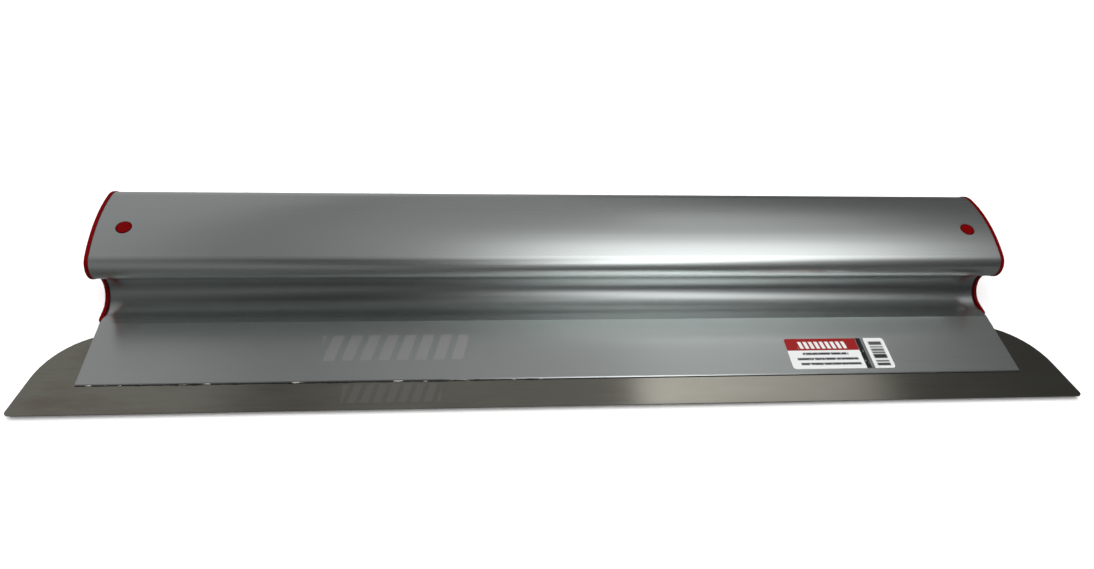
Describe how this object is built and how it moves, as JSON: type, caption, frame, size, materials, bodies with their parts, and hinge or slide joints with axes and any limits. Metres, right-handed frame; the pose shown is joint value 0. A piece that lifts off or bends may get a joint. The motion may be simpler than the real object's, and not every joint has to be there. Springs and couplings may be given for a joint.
{
  "type": "drywall skimming blade",
  "caption": "Long hollow aluminium hand profile with a thin spring steel smoothing blade, moulded end caps and sprung latch buttons.",
  "frame": {"origin": "under the middle of the tool, on the plane its flat back rests on", "axes": "+X along the blade, +Y from the blade's edge towards the top of the grip, +Z out of the flat back towards the hand"},
  "size_m": [0.609, 0.1442, 0.0507],
  "materials": {
    "anodised_aluminium": "satin anodised, fine lengthwise draw lines",
    "spring_steel": "ground lengthwise, uncoated",
    "adhesive": "cured, slightly glossy",
    "red_plastic": "moulded, semi-gloss",
    "label_film": "printed film, satin"
  },
  "bodies": {
    "handle": {"handle_extrusion": "anodised_aluminium", "blade": "spring_steel", "front_adhesive": "adhesive", "back_adhesive": "adhesive", "left_end_cap": "red_plastic", "right_end_cap": "red_plastic", "retail_label": "label_film"},
    "left_latch": {"left_latch": "red_plastic"},
    "right_latch": {"right_latch": "red_plastic"}
  },
  "joints": [
    {"name": "left_button_press", "type": "hinge", "parent": "handle", "child": "left_latch", "pos_m": [-0.27055, 0.0286, 0.04626], "axis": [0, 0.9848, 0.1736], "range_deg": [0, 9.5], "stiffness_Nm_per_rad": 0.3},
    {"name": "right_button_press", "type": "hinge", "parent": "handle", "child": "right_latch", "pos_m": [0.27055, 0.0286, 0.04626], "axis": [0, -0.9848, -0.1736], "range_deg": [0, 9.5], "stiffness_Nm_per_rad": 0.3}
  ]
}
